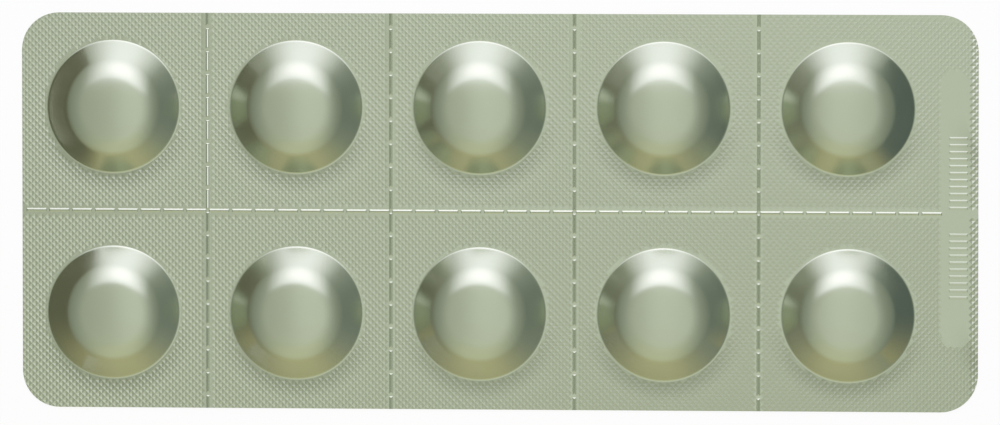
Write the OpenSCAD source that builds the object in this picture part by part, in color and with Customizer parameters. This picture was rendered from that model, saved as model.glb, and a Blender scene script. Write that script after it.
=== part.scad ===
// Sealed blister pack of tablets: a foil card that lies flat on its sealed
// back, with rows of domed pockets on its front and lines of tear cuts
// between them. Millimetres, +Z out of the front, +X towards the strip that
// takes the batch mark. The origin is the centre of the sealed back.

/* [Card] */
// Length of the card, along X
card_w = 102; // [100:1:130]
// Depth of the card, along Y
card_d = 42.2; // [39:0.1:60]
// Thickness of the forming foil and lidding foil, sealed together
card_t = 0.3; // [0.2:0.05:0.5]
// Radius of the card's four corners
corner_r = 4; // [1:0.5:6]

/* [Pockets] */
// Number of pockets in a row
columns = 5; // [1:1:5]
// Number of rows of pockets
rows = 2; // [1:1:2]
// Distance between the middles of two columns
column_pitch = 19.6; // [17:0.1:20]
// Distance between the middles of two rows
row_pitch = 21.95; // [17:0.05:25]
// Shift of the rows' middle from the card's centre line, along Y
row_shift = 0.1; // [-0.3:0.05:0.3]
// Distance from the card's left end to the middle of the first column
first_column = 9.8; // [8.5:0.1:12]
// Diameter of a pocket where its wall meets the card
pocket_d = 14.1; // [10:0.1:15]
// Height of a pocket's crown above the smooth land around it
pocket_h = 2.9; // [2.3:0.05:4.2]
// Radius of the shallow crown over the tablet
crown_r = 17; // [12:0.5:30]
// Radius of the knuckle between the crown and the wall
knuckle_r = 3.2; // [1:0.05:4]
// Slope of the pocket's wall, in degrees from the card
wall_slope = 40.5; // [35:0.5:50]
// How many degrees less steep the wall is at its foot
wall_flare = 5; // [1:0.5:6]
// Radius of the hollow in which the wall eases towards its foot
flare_r = 12; // [2:0.5:16]
// Radius where the wall runs out into the land
root_r = 0.3; // [0.1:0.05:0.6]

/* [Lands] */
// Width of the smooth land around each pocket, outside its root
land_w = 0.4; // [0.2:0.05:0.6]
// Height of the smooth lands above the pressed seal
land_h = 0.02; // [0.02:0.01:0.1]

/* [Tear cuts] */
// Distance from one tear cut to the next
cut_pitch = 2.45; // [2:0.05:4]
// Length of foil left between two tear cuts
bridge = 0.6; // [0.3:0.05:1]
// Width of a tear cut
cut_w = 0.06; // [0.04:0.02:0.2]
// Width of the burr that the knife raises, over both lips
burr_w = 0.42; // [0.3:0.02:0.6]
// Height of the burr above the seal
burr_h = 0.05; // [0.04:0.01:0.15]
// Run of the burr past the end of its cut
burr_run = 0.14; // [0.08:0.02:0.14]
// Width of the flat edge of a lip, all around its cut
lip_w = 0.04; // [0.02:0.01:0.06]
// Shift of the tear lines to the right of the middle between two columns
tear_shift = 0.3; // [0:0.05:0.6]
// Least distance from the end of a cut to the card's end or the strip
tear_gap = 0.1; // [0.05:0.05:0.4]

/* [Batch strip] */
// Width of the smooth strip
strip_w = 2.8; // [2:0.1:3]
// Length of the smooth strip
strip_l = 29.3; // [20:0.1:32]
// Distance from the strip to the card's right end
strip_inset = 1; // [0.6:0.1:1.2]
// Shift of the strip's middle from the card's centre line, along Y
strip_shift = 0.5; // [-1.5:0.1:1.5]

/* [Hidden] */
$fn = 96;

// How far a cutting shape or a buried root runs past the surface it meets
overrun = card_t / 2;

// Height of the lands over the sealed back
land_z = card_t + land_h;

// Middles of the columns and rows
column_x = [for (i = [0 : columns - 1]) first_column - card_w / 2 + i * column_pitch];
row_y = [for (j = [0 : rows - 1]) row_shift + (j - (rows - 1) / 2) * row_pitch];

// Tear lines run between the columns and, with two rows, between the rows
first_tear_x = column_x[0] + column_pitch / 2 + tear_shift;
tear_x = [for (i = [0 : 1 : columns - 2]) first_tear_x + i * column_pitch];

// A tear line holds a whole number of cuts between two crossings, with a
// bridge on each crossing
cuts_per_column = round(column_pitch / cut_pitch);
row_cut_pitch = column_pitch / cuts_per_column;
strip_x = card_w / 2 - strip_inset - strip_w;
cuts_left = floor((first_tear_x + card_w / 2 - tear_gap + bridge / 2) / row_cut_pitch);
cuts_right = floor((strip_x - tear_gap + bridge / 2 - first_tear_x) / row_cut_pitch);
cuts_up = ceil(card_d / 2 / cut_pitch);

// Middles of the cuts along a line between the rows, and along a line
// between two columns, where the last cut opens through the card's edge
row_cut_x = [for (k = [-cuts_left : cuts_right - 1]) first_tear_x + (k + 0.5) * row_cut_pitch];
column_cut_y = [for (k = [-cuts_up : cuts_up - 1]) (k + 0.5) * cut_pitch];

// Section of a pocket, as a radius and a height. The crown's arc runs into
// the knuckle's arc, the knuckle into the straight wall, the wall into the
// flare's hollow arc and the flare into the root's, each without a corner.
wall_out = [sin(wall_slope), cos(wall_slope)];
wall_up = [-cos(wall_slope), sin(wall_slope)];
foot_slope = wall_slope - wall_flare;
root_mid = [pocket_d / 2 + root_r * tan(foot_slope / 2), land_z + root_r];
flare_mid = root_mid + (flare_r - root_r) * [sin(foot_slope), cos(foot_slope)];
crown_mid = [0, land_z + pocket_h - crown_r];
knuckle_low = flare_mid - (flare_r + knuckle_r) * wall_out;
from_crown = knuckle_low - crown_mid;
along_wall = from_crown * wall_up;
wall_l = sqrt(along_wall ^ 2 - from_crown * from_crown + (crown_r - knuckle_r) ^ 2) - along_wall;
knuckle_mid = knuckle_low + wall_l * wall_up;
crown_slope = atan2(knuckle_mid.x - crown_mid.x, knuckle_mid.y - crown_mid.y);
land_r = root_mid.x + land_w;

// Steps along each arc of the section
arc_steps = 8;

// Points of an arc about mid from one slope to another, after its first
// point. A negative radius gives the hollow arc under mid.
function arc(mid, r, from, to) = [
    for (i = [1 : arc_steps])
        let (slope = from + (to - from) * i / arc_steps)
            mid + r * [sin(slope), cos(slope)]
];

// Half section of a pocket, filled down to the sealed back
module pocket_section() {
    polygon(concat(
        [[0, 0], [land_r, 0], [land_r, land_z], [root_mid.x, land_z]],
        arc(root_mid, -root_r, 0, foot_slope),
        arc(flare_mid, -flare_r, foot_slope, wall_slope),
        [knuckle_mid + knuckle_r * wall_out],
        arc(knuckle_mid, knuckle_r, wall_slope, crown_slope),
        arc(crown_mid, crown_r, crown_slope, 0)
    ));
}

module pocket() {
    rotate_extrude() pocket_section();
}

// Outline of the card
module card_outline() {
    square([card_w - 2 * corner_r, card_d], center = true);
    square([card_w, card_d - 2 * corner_r], center = true);
    for (x = [-1, 1], y = [-1, 1])
        translate([x * (card_w / 2 - corner_r), y * (card_d / 2 - corner_r)])
            circle(corner_r);
}

// Smooth strip with round ends, where the batch mark is stamped
module batch_strip() {
    translate([strip_x + strip_w / 2, strip_shift])
        linear_extrude(land_z) {
            square([strip_w, strip_l - strip_w], center = true);
            for (y = [-1, 1])
                translate([0, y * (strip_l - strip_w) / 2])
                    circle(strip_w / 2);
        }
}

// Upright section with two slopes that meet the seal a given length apart,
// under a flat top of length top_l at the burr's height
module burr_section(foot_l, top_l) {
    spread = (foot_l - top_l) / 2 * overrun / burr_h;
    polygon([
        [-foot_l / 2 - spread, card_t - overrun],
        [foot_l / 2 + spread, card_t - overrun],
        [top_l / 2, card_t + burr_h],
        [-top_l / 2, card_t + burr_h]
    ]);
}

// Row of burrs along X about the middles given, each with sloped sides and
// sloped ends: a long ridge crossed with the burrs' side view
module burr_row(middles, cut_l) {
    row_l = middles[len(middles) - 1] - middles[0] + 2 * cut_l;
    row_x = (middles[len(middles) - 1] + middles[0]) / 2;
    intersection() {
        translate([row_x - row_l / 2, 0])
            rotate([90, 0, 90])
                linear_extrude(row_l)
                    burr_section(burr_w, cut_w + 2 * lip_w);
        translate([0, burr_w])
            rotate([90, 0, 0])
                linear_extrude(2 * burr_w)
                    for (x = middles)
                        translate([x, 0])
                            burr_section(cut_l + 2 * burr_run, cut_l + 2 * lip_w);
    }
}

// Burrs that the perforating knives raise around the tear cuts
module burrs() {
    if (rows > 1)
        burr_row(row_cut_x, row_cut_pitch - bridge);
    intersection() {
        for (x = tear_x)
            translate([x, 0])
                rotate([0, 0, 90])
                    burr_row(column_cut_y, cut_pitch - bridge);
        linear_extrude(card_t + 2 * burr_h)
            square([card_w, card_d], center = true);
    }
}

// Tear cuts, right through the card
module tear_cuts() {
    translate([0, 0, -overrun])
        linear_extrude(card_t + burr_h + 2 * overrun) {
            if (rows > 1)
                for (x = row_cut_x)
                    translate([x, 0])
                        square([row_cut_pitch - bridge, cut_w], center = true);
            for (x = tear_x, y = column_cut_y)
                translate([x, y])
                    square([cut_w, cut_pitch - bridge], center = true);
        }
}

module blister_pack() {
    color([0.67, 0.7, 0.62])
        difference() {
            union() {
                linear_extrude(card_t) card_outline();
                for (x = column_x, y = row_y)
                    translate([x, y])
                        pocket();
                batch_strip();
                burrs();
            }
            tear_cuts();
        }
}

blister_pack();
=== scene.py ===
import math

import bmesh
import bpy
from mathutils import Matrix, Vector


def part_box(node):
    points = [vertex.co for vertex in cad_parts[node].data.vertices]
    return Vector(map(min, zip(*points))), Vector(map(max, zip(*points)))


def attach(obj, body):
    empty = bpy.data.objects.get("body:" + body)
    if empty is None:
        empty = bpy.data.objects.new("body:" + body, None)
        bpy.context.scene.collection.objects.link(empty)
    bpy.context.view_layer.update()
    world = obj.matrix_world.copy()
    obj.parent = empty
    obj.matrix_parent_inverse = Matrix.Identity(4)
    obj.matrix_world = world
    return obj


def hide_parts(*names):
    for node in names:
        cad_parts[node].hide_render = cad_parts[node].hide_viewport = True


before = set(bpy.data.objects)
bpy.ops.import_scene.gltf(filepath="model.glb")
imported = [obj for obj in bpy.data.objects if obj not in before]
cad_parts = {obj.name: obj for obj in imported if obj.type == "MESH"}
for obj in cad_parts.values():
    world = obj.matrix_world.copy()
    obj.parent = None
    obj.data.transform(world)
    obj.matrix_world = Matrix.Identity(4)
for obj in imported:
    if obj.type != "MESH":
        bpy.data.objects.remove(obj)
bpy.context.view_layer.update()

# The camera looks down on the front of the card, as the photograph does. It
# stands a little towards the card's right end and its top edge.
MM = 0.001
PHOTO_W = 1000
PHOTO_MIDDLE_PX = (500.0, 212.5)
CARD_MIDDLE_PX = (498.5, 211.94)
PX_PER_MM = 9.4
VIEW_DISTANCE = 1000
VIEW_TO_TOP = math.radians(3.5)
VIEW_TO_RIGHT = math.radians(4.5)
SEEN_Z = 0.3
SENSOR_W = 36
CLIP_START = 10 * MM

camera_data = bpy.data.cameras.new("camera")
camera = bpy.data.objects.new("camera", camera_data)
bpy.context.scene.collection.objects.link(camera)
bpy.context.scene.camera = camera
camera_data.sensor_width = SENSOR_W
camera_data.lens = PX_PER_MM * VIEW_DISTANCE * SENSOR_W / PHOTO_W
camera_data.clip_start = CLIP_START
camera_turn = (
    Matrix.Rotation(VIEW_TO_RIGHT, 3, "Y")
    @ Matrix.Rotation(-VIEW_TO_TOP, 3, "X")
)
view_offset = Vector((
    (PHOTO_MIDDLE_PX[0] - CARD_MIDDLE_PX[0]) / PX_PER_MM,
    (CARD_MIDDLE_PX[1] - PHOTO_MIDDLE_PX[1]) / PX_PER_MM,
    VIEW_DISTANCE,
))
camera_place = (Vector((0, 0, SEEN_Z)) + camera_turn @ view_offset) * MM
camera.matrix_world = Matrix.Translation(camera_place) @ camera_turn.to_4x4()


# The studio is a light tent: a round shell of cloth over the card, grey above,
# dark at the sides, dim and warm in front, with one bright soft panel past the
# card's top edge. It lights the card at about the level at which it is written.
TENT_R = 300 * MM
ROOF = (0.885, 0.905, 0.865)
ROOF_LEFT = (0.68, 0.69, 0.64)
ROOF_LEFT_START = (-0.32, -0.02)
PANEL = (1.46, 1.43, 1.66)
PANEL_HOT = (2.1, 1.95, 2.35)
PANEL_TILT = math.radians(55)
PANEL_MIDDLE = -0.035
PANEL_HALF_WIDTH = (0.05, 1.05)
PANEL_START = (-0.93, -0.58)
PANEL_LIMIT = (0.05, 0.3)
HOT_SPOT = (0.0, -0.15)
HOT_SIZE = (0.5, 0.5)
LEFT_SIDE = (0.2, 0.2, 0.15)
RIGHT_SIDE = (0.22, 0.255, 0.24)
LEFT_TO_RIGHT = (-0.5, 0.5)
SIDE_MIDDLE = -0.07
SIDE_START = (0.1, 1.1)
SIDE_HIGH = (0.3, 0.33, 0.29)
SIDE_RISE = (0.1, 0.5)
FRONT = (0.8, 0.8, 0.63)
FRONT_START = (0.15, 0.9)
FRONT_LOW = (0.68, 0.63, 0.4)
FRONT_RISE = (0.12, 0.4)


def feed(node, inputs):
    """Sets a node's sockets to plain values, or links Shades to them."""
    for name, value in inputs.items():
        if isinstance(value, Shade):
            value.tree.links.new(value.socket, node.inputs[name])
        else:
            node.inputs[name].default_value = value


class Shade:
    """A shader socket, on which maths is written as Python expressions."""

    def __init__(self, tree, socket=None):
        self.tree = tree
        self.socket = socket

    def node(self, kind, settings=None, inputs=None, output=0):
        """A node of one type, with its settings set first and then its sockets."""
        made = self.tree.nodes.new(kind)
        for name, value in (settings or {}).items():
            setattr(made, name, value)
        feed(made, inputs or {})
        return Shade(self.tree, made.outputs[output])

    def math(self, operation, *values):
        return self.node("ShaderNodeMath", {"operation": operation}, dict(enumerate(values)))

    def __add__(self, other):
        return self.math("ADD", self, other)

    def __radd__(self, other):
        return self.math("ADD", other, self)

    def __sub__(self, other):
        return self.math("SUBTRACT", self, other)

    def __rsub__(self, other):
        return self.math("SUBTRACT", other, self)

    def __mul__(self, other):
        return self.math("MULTIPLY", self, other)

    def __rmul__(self, other):
        return self.math("MULTIPLY", other, self)

    def __truediv__(self, other):
        return self.math("DIVIDE", self, other)

    def __rtruediv__(self, other):
        return self.math("DIVIDE", other, self)

    def size(self):
        """The value without its sign."""
        return self.math("ABSOLUTE", self)

    def step(self, low, high):
        """0 below low and 1 above high, smooth between them."""
        return self.node(
            "ShaderNodeMapRange",
            {"interpolation_type": "SMOOTHSTEP"},
            {"Value": self, "From Min": low, "From Max": high},
        )

    def mix(self, first, second):
        """The colour first where this is 0, and second where it is 1."""
        colours = [c if isinstance(c, Shade) else (*c, 1) for c in (first, second)]
        return self.node(
            "ShaderNodeMix", {"data_type": "RGBA"}, {0: self, 6: colours[0], 7: colours[1]}, output=2
        )

    def place(self):
        """The three Object coordinates."""
        place = self.node("ShaderNodeTexCoord", output=3)
        parts = self.node("ShaderNodeSeparateXYZ", None, {0: place}).socket.node.outputs
        return [Shade(self.tree, parts[i]) for i in range(3)]

    def glow(self, colour):
        """A surface that shines in one colour."""
        return self.node("ShaderNodeEmission", None, {"Color": colour, "Strength": 1.0})


def new_material(name):
    """A material, its shader node and a Shade to start expressions from."""
    material = bpy.data.materials.new(name)
    material.use_nodes = True
    tree = material.node_tree
    return material, tree.nodes["Principled BSDF"], Shade(tree)


def cover(thing, material, surface):
    """Gives a thing of the studio its material, with a Shade as the surface."""
    feed(material.node_tree.nodes["Material Output"], {"Surface": surface})
    thing.data.materials.append(material)


def make_object(name, mesh):
    """A new object from a bmesh, which it frees."""
    data = bpy.data.meshes.new(name)
    mesh.to_mesh(data)
    mesh.free()
    made = bpy.data.objects.new(name, data)
    bpy.context.scene.collection.objects.link(made)
    return made


tent_mesh = bmesh.new()
bmesh.ops.create_uvsphere(tent_mesh, u_segments=48, v_segments=24, radius=TENT_R)
under_floor = [v for v in tent_mesh.verts if v.co.z < -MM]
bmesh.ops.delete(tent_mesh, geom=under_floor, context="VERTS")
bmesh.ops.reverse_faces(tent_mesh, faces=tent_mesh.faces[:])
tent = make_object("light_tent", tent_mesh)
tent.visible_camera = False

cloth, _, sky = new_material("tent_cloth")
look_x, look_y, look_z = (axis / TENT_R for axis in sky.place())
ahead = look_y * math.sin(PANEL_TILT) + look_z * math.cos(PANEL_TILT)
across = look_x / ahead - PANEL_MIDDLE
along = (look_y * math.cos(PANEL_TILT) - look_z * math.sin(PANEL_TILT)) / ahead
panel = (
    (1 - across.size().step(*PANEL_HALF_WIDTH))
    * along.step(*PANEL_START)
    * ahead.step(*PANEL_LIMIT)
)
off_x = (across - HOT_SPOT[0]) / HOT_SIZE[0]
off_y = (along - HOT_SPOT[1]) / HOT_SIZE[1]
hot = sky.math("EXPONENT", 0 - off_x * off_x - off_y * off_y)
side = look_x.step(*LEFT_TO_RIGHT).mix(LEFT_SIDE, RIGHT_SIDE)
side = look_z.step(*SIDE_RISE).mix(side, SIDE_HIGH)
sideways = (look_x - SIDE_MIDDLE).size().step(*SIDE_START)
frontward = (0 - look_y).step(*FRONT_START)
roof = look_x.step(*ROOF_LEFT_START).mix(ROOF_LEFT, ROOF)
front = look_z.step(*FRONT_RISE).mix(FRONT_LOW, FRONT)
light = sideways.mix(frontward.mix(roof, front), side)
light = panel.mix(light, hot.mix(PANEL, PANEL_HOT))
cover(tent, cloth, sky.glow(light))


# Two low flags stand past the card's ends, and a warm apron lies on the floor
# from under the card towards the front. They darken what the pockets' walls
# reflect along the floor, and only reflections show them.
FLAG_X = 60 * MM
FLAG_Y = 40 * MM
FLAG_H = 6.5 * MM
FLAG_LEFT = (0.18, 0.175, 0.125)
FLAG_RIGHT = (0.145, 0.175, 0.175)
APRON = (0.49, 0.45, 0.28)
APRON_START = (0.25, 1.0)
APRON_D = 80 * MM
APRON_Z = 0.02 * MM

flag_mesh = bmesh.new()
bmesh.ops.create_cube(flag_mesh, size=1)
bmesh.ops.scale(flag_mesh, verts=flag_mesh.verts, vec=(2 * FLAG_X, 2 * FLAG_Y, FLAG_H))
bmesh.ops.translate(flag_mesh, verts=flag_mesh.verts, vec=(0, 0, FLAG_H / 2))
not_at_ends = [f for f in flag_mesh.faces if abs(f.normal.x) < 0.5]
bmesh.ops.delete(flag_mesh, geom=not_at_ends, context="FACES")
bmesh.ops.reverse_faces(flag_mesh, faces=flag_mesh.faces[:])
apron = bmesh.ops.create_grid(flag_mesh, x_segments=1, y_segments=1, size=0.5)["verts"]
bmesh.ops.scale(flag_mesh, verts=apron, vec=(2 * FLAG_X, APRON_D, 1))
bmesh.ops.translate(flag_mesh, verts=apron, vec=(0, -APRON_D / 2, APRON_Z))
flags = make_object("flags", flag_mesh)
flags.visible_camera = False
flags.visible_diffuse = False
flags.visible_shadow = False

felt, _, dye = new_material("flag_felt")
flag_x, flag_y, _ = dye.place()
side = (flag_x / FLAG_X).step(*LEFT_TO_RIGHT).mix(FLAG_LEFT, FLAG_RIGHT)
cover(flags, felt, dye.glow((0 - flag_y / FLAG_Y).step(*APRON_START).mix(side, APRON)))


# The floor is a plain pale sheet that the card lies on, under a white world.
# Both show white to the camera, and in reflections.
WHITE = (1.0, 1.0, 1.0, 1.0)
FLOOR_HALF = 3.0
FLOOR = (0.9, 0.9, 0.9, 1.0)
FLOOR_ROUGHNESS = 0.9
FLOOR_SHOWS_WHITE = 0.93

floor_mesh = bmesh.new()
bmesh.ops.create_grid(floor_mesh, x_segments=1, y_segments=1, size=FLOOR_HALF)
floor = make_object("floor", floor_mesh)
sheet, sheet_shader, paint = new_material("pale_floor")
feed(sheet_shader, {"Base Color": FLOOR, "Roughness": FLOOR_ROUGHNESS})
rays = [
    paint.node("ShaderNodeLightPath", output=name)
    for name in ("Is Camera Ray", "Is Glossy Ray", "Is Transmission Ray")
]
seen = paint.math("MAXIMUM", paint.math("MAXIMUM", rays[0], rays[1]), rays[2])
lit = Shade(sheet.node_tree, sheet_shader.outputs["BSDF"])
shown = paint.node(
    "ShaderNodeMixShader", None, {0: seen * FLOOR_SHOWS_WHITE, 1: lit, 2: paint.glow(WHITE)}
)
cover(floor, sheet, shown)

world = bpy.data.worlds.new("white")
bpy.context.scene.world = world
world.use_nodes = True
feed(world.node_tree.nodes["Background"], {"Color": WHITE})
bpy.context.scene.view_settings.view_transform = "Standard"


# The forming foil is an aluminium laminate, pressed cold into round pockets
# over the tablets and sealed to the back foil by a plate with a fine diamond
# knurl. Knives perforate it from behind, so each tear cut has raised lips.
card_low, card_high = [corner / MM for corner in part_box("blister_pack")]
CARD_W = card_high.x - card_low.x
CARD_D = card_high.y - card_low.y
CARD_T = 0.3
CORNER_R = 4.0
CORNER_STEPS = 16
BACK_FOIL_T = 0.04
BURIED_Z = 2 * BACK_FOIL_T
OVERRUN = 0.01
CLEAR_OF_CARD = 1.0

COLUMNS = 5
COLUMN_PITCH = 19.6
ROW_PITCH = 21.95
ROW_SHIFT = 0.1
FIRST_COLUMN = 9.8
POCKET_R = 7.05
POCKET_H = 2.9
CROWN_R = 20.0
CROWN_STEPS = 8
KNUCKLE_R = 4.2
KNUCKLE_STEPS = 10
WALL_SLOPE = math.radians(42)
FOOT_SLOPE = math.radians(41)
FLARE_R = 12.0
FLARE_STEPS = 4
ROOT_R = 0.3
ROOT_STEPS = 4
POCKET_STEPS = 96
LAND_W = 0.05
LAND_H = 0.02
LAND_Z = CARD_T + LAND_H
MERGE_DIST = 0.0005

CUT_PITCH = 2.45
BRIDGE = 0.6
CUT_W = 0.008
CUT_TOP_W = 0.08
CUT_TOP_DEEP = 0.036
CUT_TOP_OVERRUN = 0.001
OPEN_CUT_W = 0.1
BURR_W = 0.38
BURR_H = 0.05
BURR_RUN = 0.14
LIP_W = 0.045
TEAR_SHIFT = 0.3
TEAR_GAP = 0.1

STRIP_W = 2.8
STRIP_L = 29.3
STRIP_INSET = 1.0
STRIP_SHIFT = 0.5
STRIP_END_FLAT = 0.01
STRIP_END_STEPS = 12
BAR_L = 2.1
BAR_W = 0.46
BAR_H = 0.027
BAR_TAPER = 0.17
BAR_PITCH = 0.74
BAR_SHIFT = 0.3
FIRST_BAR_AND_COUNT = ((0.6, 11), (-8.9, 10))

KNURL_PITCH = 0.505
KNURL_SPARE_CELLS = 4
KNURL_DEPTH = 0.052
KNURL_LEAST = 0.2
KNURL_TO_TOP = 0.6
KNURL_TO_RIGHT = 0.1
KNURL_AT_END = 0.8
KNURL_FADE = 0.2
KNURL_FROM_CUTS = 0.3
BURR_DEEP = 2 * KNURL_DEPTH
DRAWN = 0.3
DRAWN_W = 3.0
DRAWN_ROUND_SHARE = 0.4
DRAWN_BELOW_SHARE = 0.6
SHARP_FROM = math.radians(11)

column_x = [card_low.x + FIRST_COLUMN + i * COLUMN_PITCH for i in range(COLUMNS)]
row_y = (ROW_SHIFT - ROW_PITCH / 2, ROW_SHIFT + ROW_PITCH / 2)
pocket_middles = [Vector((x, y)) for x in column_x for y in row_y]
root_x = POCKET_R + ROOT_R * math.tan(FOOT_SLOPE / 2)
land_r = root_x + LAND_W
tear_x = [x + COLUMN_PITCH / 2 + TEAR_SHIFT for x in column_x[:-1]]
strip_x = card_high.x - STRIP_INSET - STRIP_W
strip_middle = Vector((strip_x + STRIP_W / 2, STRIP_SHIFT))
strip_half = (STRIP_L - STRIP_W) / 2


def combine(piece, tool, operation):
    """Joins a tool to a piece, or cuts it, and deletes the tool."""
    change = piece.modifiers.new("combine", "BOOLEAN")
    change.operation = operation
    change.object = tool
    change.solver = "MANIFOLD"
    bpy.context.view_layer.update()
    changed = piece.evaluated_get(bpy.context.evaluated_depsgraph_get())
    data = bpy.data.meshes.new_from_object(changed)
    piece.modifiers.clear()
    piece.data = data
    bpy.data.objects.remove(tool)


def rounded_block(middle, width, depth, corner_r, steps, low_z, high_z):
    """An upright block with four round corners."""
    mesh = bmesh.new()
    bmesh.ops.create_cube(mesh, size=1)
    bmesh.ops.scale(mesh, verts=mesh.verts, vec=(width, depth, high_z - low_z))
    bmesh.ops.translate(mesh, verts=mesh.verts, vec=(*middle, (low_z + high_z) / 2))
    upright = [e for e in mesh.edges if abs(e.verts[0].co.z - e.verts[1].co.z) > 0]
    bmesh.ops.bevel(
        mesh, geom=upright, offset=corner_r, segments=steps, profile=0.5,
        affect="EDGES", material=-1,
    )
    return make_object("rounded_block", mesh)


def card_block(low_z, high_z):
    """A block with the card's outline."""
    return rounded_block((0, 0), CARD_W, CARD_D, CORNER_R, CORNER_STEPS, low_z, high_z)


def knurl_depth_at(place):
    """How deep the plate presses the seal: less beside lands and cuts, more below the pockets."""
    from_middle = min((place - middle for middle in pocket_middles), key=lambda v: v.length)
    from_land = from_middle.length - land_r
    on_strip = max(strip_middle.y - strip_half, min(strip_middle.y + strip_half, place.y))
    from_strip = (place - Vector((strip_middle.x, on_strip))).length - STRIP_W / 2
    from_tear = min([abs(place.y)] + [abs(place.x - x) for x in tear_x]) - KNURL_FROM_CUTS
    near = min(from_land, from_strip, from_tear) / KNURL_FADE
    press = 1 - KNURL_TO_RIGHT * place.x / CARD_W - KNURL_TO_TOP * place.y / CARD_D
    press += KNURL_AT_END * (place.x > card_high.x - STRIP_INSET)
    below = max(0, DRAWN_ROUND_SHARE - DRAWN_BELOW_SHARE * from_middle.y / from_middle.length)
    press += DRAWN * below * max(0, 1 - from_land / DRAWN_W)
    return KNURL_DEPTH * press * max(KNURL_LEAST, min(1, near))


def knurl_block(low_z, peak_z):
    """A block over the whole card whose top is a field of square pits, turned 45 degrees."""
    mesh = bmesh.new()
    cells = math.ceil((CARD_W + CARD_D) / math.sqrt(2) / KNURL_PITCH) + KNURL_SPARE_CELLS
    eighth_turn = Matrix.Rotation(math.tau / 8, 3, "Z")
    bmesh.ops.create_grid(mesh, x_segments=cells, y_segments=cells, size=cells * KNURL_PITCH / 2)
    bmesh.ops.rotate(mesh, verts=mesh.verts, cent=(0, 0, 0), matrix=eighth_turn)
    bmesh.ops.translate(mesh, verts=mesh.verts, vec=(0, 0, peak_z))
    outside = [
        f for f in mesh.faces
        if abs(f.calc_center_median().x) > CARD_W / 2 + KNURL_PITCH
        or abs(f.calc_center_median().y) > CARD_D / 2 + KNURL_PITCH
    ]
    bmesh.ops.delete(mesh, geom=outside, context="FACES")
    for pit in bmesh.ops.poke(mesh, faces=mesh.faces[:])["verts"]:
        pit.co.z -= knurl_depth_at(pit.co.xy)
    rim = [e for e in mesh.edges if e.is_boundary]
    walls = bmesh.ops.extrude_edge_only(mesh, edges=rim)["geom"]
    for foot in [v for v in walls if isinstance(v, bmesh.types.BMVert)]:
        foot.co.z = low_z
    bmesh.ops.edgenet_fill(mesh, edges=[e for e in mesh.edges if e.is_boundary])
    bmesh.ops.recalc_face_normals(mesh, faces=mesh.faces[:])
    return make_object("knurl_block", mesh)


def slope_direction(slope):
    """The direction that a surface faces, from its slope."""
    return Vector((math.sin(slope), 0, math.cos(slope)))


def arc(middle, radius, start, end, steps):
    """Points along an arc, from one slope to another."""
    slopes = [start + (end - start) * i / steps for i in range(steps + 1)]
    return [middle + radius * slope_direction(slope) for slope in slopes]


def pocket_profile(low_z):
    """Half section of a pocket and its land, from the foot of the land to the crown."""
    up_wall = Vector((-math.cos(WALL_SLOPE), 0, math.sin(WALL_SLOPE)))
    crown = Vector((0, 0, LAND_Z + POCKET_H - CROWN_R))
    root = Vector((root_x, 0, LAND_Z + ROOT_R))
    flare = root + slope_direction(FOOT_SLOPE) * (FLARE_R - ROOT_R)
    knuckle_low = flare - slope_direction(WALL_SLOPE) * (FLARE_R + KNUCKLE_R)
    from_crown = knuckle_low - crown
    rise = from_crown.dot(up_wall)
    wall_l = math.sqrt(rise**2 - from_crown.length_squared + (CROWN_R - KNUCKLE_R) ** 2) - rise
    knuckle = knuckle_low + up_wall * wall_l
    crown_slope = math.atan2(knuckle.x - crown.x, knuckle.z - crown.z)
    return (
        [Vector((0, 0, low_z)), Vector((land_r, 0, low_z)), Vector((land_r, 0, LAND_Z))]
        + arc(root, -ROOT_R, 0, FOOT_SLOPE, ROOT_STEPS)
        + arc(flare, -FLARE_R, FOOT_SLOPE, WALL_SLOPE, FLARE_STEPS)[1:]
        + arc(knuckle, KNUCKLE_R, WALL_SLOPE, crown_slope, KNUCKLE_STEPS)
        + arc(crown, CROWN_R, crown_slope, 0, CROWN_STEPS)[1:]
    )


def pockets_block(low_z):
    """All the pockets with their lands, filled."""
    mesh = bmesh.new()
    points = pocket_profile(low_z)
    for middle in pocket_middles:
        line = [mesh.verts.new(point + middle.to_3d()) for point in points]
        edges = [mesh.edges.new(pair) for pair in zip(line, line[1:])]
        bmesh.ops.spin(
            mesh, geom=line + edges, cent=middle.to_3d(), axis=(0, 0, 1),
            angle=math.tau, steps=POCKET_STEPS, use_merge=True,
        )
    bmesh.ops.remove_doubles(mesh, verts=mesh.verts, dist=MERGE_DIST)
    bmesh.ops.recalc_face_normals(mesh, faces=mesh.faces[:])
    for face in mesh.faces:
        face.smooth = True
    return make_object("pockets_block", mesh)


def boxes(places, size, low_z, high_z, top_inset=(0, 0)):
    """Like boxes at each (x, y), their top narrower than their foot by twice the inset."""
    mesh = bmesh.new()
    for x, y in places:
        for v in bmesh.ops.create_cube(mesh, size=1)["verts"]:
            high = v.co.z > 0
            v.co.x = x + math.copysign(size[0] / 2 - high * top_inset[0], v.co.x)
            v.co.y = y + math.copysign(size[1] / 2 - high * top_inset[1], v.co.y)
            v.co.z = high_z if high else low_z
    return make_object("boxes", mesh)


cuts_right = math.floor((strip_x - TEAR_GAP + BRIDGE / 2 - tear_x[0]) / CUT_PITCH)
cuts_left = math.floor((tear_x[0] - card_low.x - TEAR_GAP + BRIDGE / 2) / CUT_PITCH)
cuts_up = math.ceil(CARD_D / 2 / CUT_PITCH)
cut_l = CUT_PITCH - BRIDGE
burr_top = CARD_T + BURR_H
row_cuts = [(tear_x[0] + (k + 0.5) * CUT_PITCH, 0) for k in range(-cuts_left, cuts_right)]
column_cuts = [(x, (k + 0.5) * CUT_PITCH) for x in tear_x for k in range(-cuts_up, cuts_up)]

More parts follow.
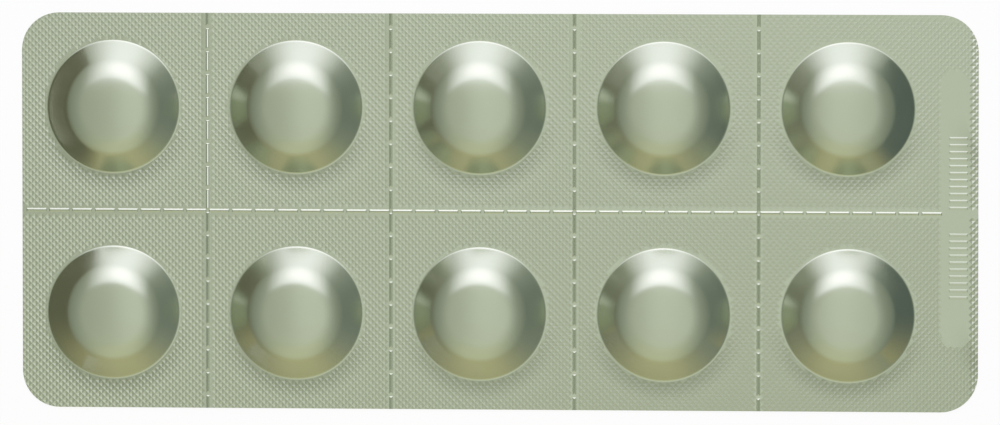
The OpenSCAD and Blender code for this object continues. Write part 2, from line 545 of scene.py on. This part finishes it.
# The first tear line has sprung open in its upper half
last_cut_y = CARD_D / 2 - CUT_PITCH
open_cuts = [(x, y) for x, y in column_cuts if x == tear_x[0] and 0 < y < last_cut_y]
shut_cuts = [cut for cut in column_cuts if cut not in open_cuts]


def burrs_block(cuts, along):
    """A burr over each cut of a line, with sloped sides and ends."""
    side_run = (BURR_W - CUT_W - 2 * LIP_W) / 2 / BURR_H
    end_run = (BURR_RUN - LIP_W) / BURR_H
    size = [BURR_W + 2 * side_run * BURR_DEEP] * 2
    size[along] = cut_l + 2 * BURR_RUN + 2 * end_run * BURR_DEEP
    inset = [side_run * (BURR_H + BURR_DEEP)] * 2
    inset[along] = end_run * (BURR_H + BURR_DEEP)
    return boxes(cuts, size, CARD_T - BURR_DEEP, burr_top, inset)


def perforate(foil_sheet, has_lips):
    """Cuts the tear lines through a foil. Lips open in a shallow V over each shut cut."""
    for cuts, along, cut_w in (
        (row_cuts, 0, CUT_W), (shut_cuts, 1, CUT_W), (open_cuts, 1, OPEN_CUT_W)
    ):
        size = [cut_w, cut_w]
        size[along] = cut_l
        combine(foil_sheet, boxes(cuts, size, -OVERRUN, burr_top + OVERRUN), "DIFFERENCE")
        if has_lips and cut_w < CUT_TOP_W:
            inset = [(cut_w - CUT_TOP_W) / 2] * 2
            inset[along] = 0
            v_low = burr_top - CUT_TOP_DEEP
            v_shapes = boxes(cuts, size, v_low, burr_top + CUT_TOP_OVERRUN, inset)
            combine(foil_sheet, v_shapes, "DIFFERENCE")


forming_foil = knurl_block(-CLEAR_OF_CARD, CARD_T)
combine(forming_foil, burrs_block(row_cuts, 0), "UNION")
combine(forming_foil, burrs_block(column_cuts, 1), "UNION")
combine(forming_foil, card_block(BACK_FOIL_T, CLEAR_OF_CARD), "INTERSECT")
combine(forming_foil, pockets_block(BURIED_Z), "UNION")
end_r = STRIP_W / 2 - STRIP_END_FLAT
strip = rounded_block(strip_middle, STRIP_W, STRIP_L, end_r, STRIP_END_STEPS, BURIED_Z, LAND_Z)
combine(forming_foil, strip, "UNION")
bars = [
    (strip_middle.x + BAR_SHIFT, first_y + i * BAR_PITCH)
    for first_y, count in FIRST_BAR_AND_COUNT
    for i in range(count)
]
bar_size = (BAR_L, BAR_W)
bar_taper = (BAR_TAPER, BAR_TAPER)
combine(forming_foil, boxes(bars, bar_size, LAND_Z - OVERRUN, LAND_Z + BAR_H, bar_taper), "UNION")
perforate(forming_foil, has_lips=True)
forming_foil.data.set_sharp_from_angle(angle=SHARP_FROM)
forming_foil.data.transform(Matrix.Scale(MM, 4))
forming_foil.name = "forming_foil"

# The foil's film side is greenish grey, with fine roll lines and soft dents. It
# is drawn into small pleats where the walls meet the land. Below each pocket
# the seal's colour is darker: painted shade, as if the pocket shaded it.
FOIL = (0.5, 0.55, 0.42)
FOIL_PAINTED_SHADE = (0.38, 0.42, 0.31)
PAINTED_SHADE_W = 2.4 * MM
FOIL_ROUGHNESS = 0.17
FILM_COAT = 0.5
FILM_ROUGHNESS = 0.06
ROLL_LINE_W = 0.16 * MM
ROLL_LINE_L = 9 * MM
ROLL_LINE_H = 0.0028 * MM
DENT_W = 2.2 * MM
DENT_H = 0.005 * MM
DENT_ROUGHNESS = 0.06
PLEATS = 90
PLEAT_L = 8 * MM
PLEAT_H = 0.0025 * MM
PLEAT_R = (5.6 * MM, 6.6 * MM)
EDGE_W = 0.1 * MM

foil, foil_shader, paint = new_material("film_coated_foil")
x, y, _ = paint.place()


def noise(point, detail):
    """A noise texture at a point, which is given as up to three axes."""
    joined = paint.node("ShaderNodeCombineXYZ", None, dict(enumerate(point)))
    inputs = {"Vector": joined, "Scale": 1.0, "Detail": detail}
    return paint.node("ShaderNodeTexNoise", None, inputs)


def from_nearest(axis, first, pitch):
    """How far an axis is from the nearest of a row of places."""
    return paint.math("WRAP", axis - first * MM, pitch / 2 * MM, -pitch / 2 * MM)


roll_lines = noise((x / ROLL_LINE_W, y / ROLL_LINE_L), 3.0)
dents = noise((x / DENT_W, y / DENT_W), 1.0)
pocket_x = from_nearest(x, column_x[0], COLUMN_PITCH)
pocket_y = from_nearest(y, row_y[0], ROW_PITCH)
from_pocket = paint.math("SQRT", pocket_x * pocket_x + pocket_y * pocket_y)
turn = paint.math("ARCTAN2", pocket_y, pocket_x)
pleats = noise((turn * (PLEATS / math.tau), x / PLEAT_L, y / PLEAT_L), 1.0)
wall_foot = root_x * MM
land_edge = land_r * MM
at_wall = from_pocket.step(*PLEAT_R) * (1 - from_pocket.step(wall_foot, wall_foot + EDGE_W))
past_land = (
    from_pocket.step(land_edge - EDGE_W, land_edge)
    * (1 - from_pocket.step(land_edge, land_edge + PAINTED_SHADE_W))
)
# Painted shade: the seal's colour darkens in a band just past each land, below the pocket.
painted_shade = past_land * ((0 - pocket_y) / from_pocket).step(0.0, 1.0)
height = roll_lines * ROLL_LINE_H + dents * DENT_H + pleats * at_wall * PLEAT_H
bump = paint.node("ShaderNodeBump", None, {"Height": height, "Distance": 1.0, "Strength": 1.0})
feed(foil_shader, {
    "Base Color": painted_shade.mix(FOIL, FOIL_PAINTED_SHADE),
    "Metallic": 1.0,
    "Roughness": FOIL_ROUGHNESS + dents * DENT_ROUGHNESS,
    "Coat Weight": FILM_COAT,
    "Coat Roughness": FILM_ROUGHNESS,
    "Normal": bump,
})
forming_foil.data.materials.clear()
forming_foil.data.materials.append(foil)
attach(forming_foil, "root")
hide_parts("blister_pack")


# The lidding foil is a flat sheet of bare aluminium under the whole card. The
# knurl shows faintly through it, and the tear cuts run through it too.
BARE_ALUMINIUM = (0.62, 0.63, 0.6, 1.0)
BARE_ROUGHNESS = 0.3
BACK_KNURL = 0.08

lidding_foil = card_block(0, BACK_FOIL_T)
perforate(lidding_foil, has_lips=False)
lidding_foil.data.transform(Matrix.Scale(MM, 4))
lidding_foil.name = "lidding_foil"

back, back_shader, paint = new_material("bare_foil")
x, y, _ = paint.place()
ridges = [
    paint.math("PINGPONG", (x + y * way) / math.sqrt(2), KNURL_PITCH / 2 * MM) for way in (1, -1)
]
relief = (ridges[0] + ridges[1]) * BACK_KNURL
feed(back_shader, {
    "Base Color": BARE_ALUMINIUM,
    "Metallic": 1.0,
    "Roughness": BARE_ROUGHNESS,
    "Normal": paint.node("ShaderNodeBump", None, {"Height": relief, "Distance": 1.0}),
})
lidding_foil.data.materials.clear()
lidding_foil.data.materials.append(back)
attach(lidding_foil, "root")
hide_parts("blister_pack")
